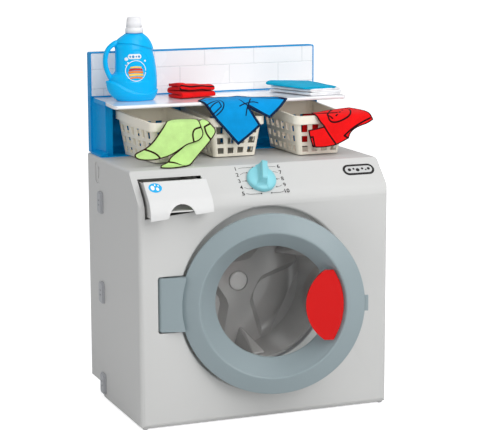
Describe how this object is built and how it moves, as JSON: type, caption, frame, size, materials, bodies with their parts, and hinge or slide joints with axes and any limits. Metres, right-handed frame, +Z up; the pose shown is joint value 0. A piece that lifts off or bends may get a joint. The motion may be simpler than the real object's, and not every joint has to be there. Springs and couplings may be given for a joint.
{
  "type": "toy washing machine",
  "caption": "Toy front-loading washing machine with hinged round door, spinning drum, drawer, knob, shelf unit, baskets, bottle and clothes",
  "frame": {"origin": "centre of the flat underside of the base panel, on the floor", "axes": "+Z up, -Y towards the door side (front), +X to the right as seen from the front"},
  "size_m": [0.4593, 0.3887, 0.6623],
  "materials": {
    "cabinet": "light grey blow-moulded polyethylene, soft satin",
    "base": "light grey moulded plastic",
    "pads": "dark grey rubber",
    "clips": "grey snap clips",
    "tub": "mid grey moulded plastic",
    "steel": "plain steel",
    "drum": "mid grey glossy plastic",
    "door": "blue-grey satin plastic",
    "window": "clear sheet plastic",
    "handle": "glossy red plastic",
    "drawer": "off-white satin plastic",
    "drawer_inside": "grey plastic",
    "knob": "pale turquoise glossy plastic",
    "dark": "black plastic",
    "board": "green circuit board",
    "cells": "printed metal jackets",
    "unit": "bright blue glossy plastic",
    "tiles": "white sheet with tile joints",
    "shelf": "glossy white plastic",
    "basket": "ivory satin plastic",
    "bottle": "bright blue glossy plastic",
    "cap": "white plastic",
    "red_felt": "red felt",
    "white_felt": "white felt",
    "teal_felt": "turquoise felt",
    "green_felt": "pale green felt with dark printed lines",
    "blue_felt": "blue felt with dark printed lines"
  },
  "bodies": {
    "cabinet": {"front_shell": "cabinet", "rear_shell": "cabinet", "base_panel": "base", "foot_pads": "pads", "side_clips": "clips", "tub": "tub", "drum_axle": "steel", "hinge_pin": "steel", "drawer_guide": "drawer_inside", "sound_case": "dark", "circuit_board": "board", "speaker": "dark", "batteries": "cells", "battery_cover": "cabinet", "case_screws": "steel", "shelf_unit": "unit", "tile_panel": "tiles", "shelf": "shelf"},
    "door": {"door_ring": "door", "door_back": "door", "door_window": "window", "door_handle": "handle", "latch_tab": "door"},
    "drum": {"drum": "drum", "hub_cap": "drum"},
    "knob": {"knob": "knob", "knob_shaft": "knob", "knob_clip": "steel"},
    "drawer": {"drawer_front": "drawer", "drawer_tray": "drawer_inside"},
    "left_basket": {"basket_left": "basket", "sock_upper": "green_felt", "sock_lower": "green_felt"},
    "middle_basket": {"basket_middle": "basket", "shorts": "blue_felt"},
    "right_basket": {"basket_right": "basket", "shirt": "red_felt"},
    "bottle": {"bottle": "bottle", "bottle_cap": "cap"},
    "red_stack": {"red_cloth": "red_felt"},
    "flat_stack": {"white_cloth": "white_felt", "teal_cloth": "teal_felt"}
  },
  "joints": [
    {"name": "door_hinge", "type": "hinge", "parent": "cabinet", "child": "door", "pos_m": [-0.182, -0.139, 0.208], "axis": [0, 0, -1], "range_deg": [-17.8, 82]},
    {"name": "drum_spin", "type": "hinge", "parent": "cabinet", "child": "drum", "pos_m": [0, -0.056, 0.208], "axis": [0, 1, 0], "continuous": true},
    {"name": "knob_turn", "type": "hinge", "parent": "cabinet", "child": "knob", "pos_m": [0, -0.1205, 0.39999], "axis": [0, -0.6999, 0.7142], "range_deg": [-150, 150]},
    {"name": "drawer_slide", "type": "slide", "parent": "cabinet", "child": "drawer", "axis": [0, -1, 0], "range_m": [-0.028, 0.062]},
    {"name": "left_basket_slide", "type": "slide", "parent": "cabinet", "child": "left_basket", "axis": [0, -1, 0], "range_m": [0, 0.08]},
    {"name": "middle_basket_slide", "type": "slide", "parent": "cabinet", "child": "middle_basket", "axis": [0, -1, 0], "range_m": [0, 0.08]},
    {"name": "right_basket_slide", "type": "slide", "parent": "cabinet", "child": "right_basket", "axis": [0, -1, 0], "range_m": [0, 0.08]},
    {"name": "bottle_lift", "type": "slide", "parent": "cabinet", "child": "bottle", "axis": [0, 0, 1], "range_m": [0, 0.12]},
    {"name": "red_stack_lift", "type": "slide", "parent": "cabinet", "child": "red_stack", "axis": [0, 0, 1], "range_m": [0, 0.12]},
    {"name": "flat_stack_lift", "type": "slide", "parent": "cabinet", "child": "flat_stack", "axis": [0, 0, 1], "range_m": [0, 0.12]}
  ]
}
